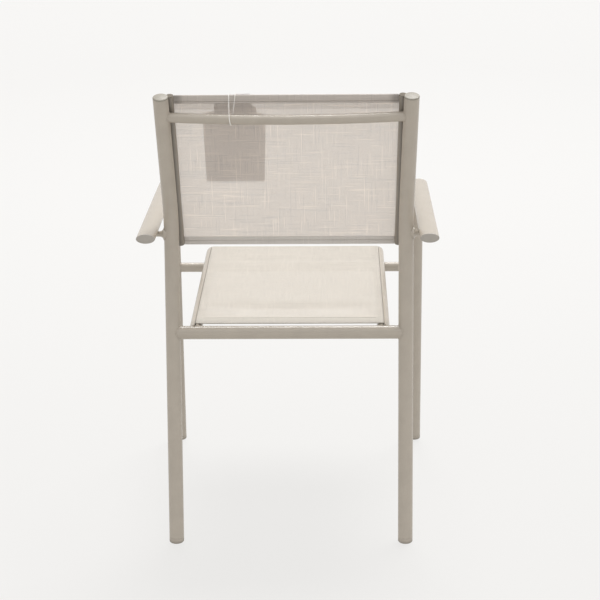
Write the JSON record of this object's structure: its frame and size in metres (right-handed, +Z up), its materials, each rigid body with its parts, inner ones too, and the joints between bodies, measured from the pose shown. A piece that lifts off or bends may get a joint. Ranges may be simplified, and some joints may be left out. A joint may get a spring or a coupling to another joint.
{
  "type": "sling patio chair",
  "caption": "Outdoor armchair with a bent tube frame, oval arms, and stretched mesh slings for the seat and the back, with a blank hang tag.",
  "frame": {"origin": "middle of the chair's footprint, on the floor under it", "axes": "+Z up, the sitter faces -Y, the sitter's left side is +X"},
  "size_m": [0.553, 0.5942, 0.8629],
  "materials": {
    "frame_paint": "satin powder coat, warm taupe",
    "cap_plastic": "satin moulded plastic, warm taupe",
    "foot_plastic": "matte moulded plastic, darker taupe",
    "keder_plastic": "matte extruded cord",
    "sling_mesh": "woven coated yarn mesh, light taupe with fine slubs",
    "tag_card": "plain matte card, blank on both sides",
    "tag_cotton": "twisted off-white string"
  },
  "bodies": {
    "root": {"rear_post_left": "frame_paint", "rear_post_right": "frame_paint", "arm_leg_left": "frame_paint", "arm_leg_right": "frame_paint", "arm_bracket_left": "frame_paint", "arm_bracket_right": "frame_paint", "rear_seat_bar": "frame_paint", "front_seat_bar": "frame_paint", "back_top_rail": "frame_paint", "seat_rail_left": "frame_paint", "seat_rail_right": "frame_paint", "seat_saddle_left": "frame_paint", "seat_saddle_right": "frame_paint", "back_rail_left": "frame_paint", "back_rail_right": "frame_paint", "post_cap_left": "cap_plastic", "post_cap_right": "cap_plastic", "arm_end_cap_left": "cap_plastic", "arm_end_cap_right": "cap_plastic", "seat_rail_plug_left": "cap_plastic", "seat_rail_plug_right": "cap_plastic", "back_rail_cap_top_left": "cap_plastic", "back_rail_cap_top_right": "cap_plastic", "back_rail_cap_low_left": "cap_plastic", "back_rail_cap_low_right": "cap_plastic", "rear_foot_left": "foot_plastic", "rear_foot_right": "foot_plastic", "front_foot_left": "foot_plastic", "front_foot_right": "foot_plastic", "seat_keder_left": "keder_plastic", "seat_keder_right": "keder_plastic", "back_keder_left": "keder_plastic", "back_keder_right": "keder_plastic", "seat_sling": "sling_mesh", "back_sling": "sling_mesh", "hang_tag": "tag_card", "tag_string": "tag_cotton"}
  },
  "joints": []
}
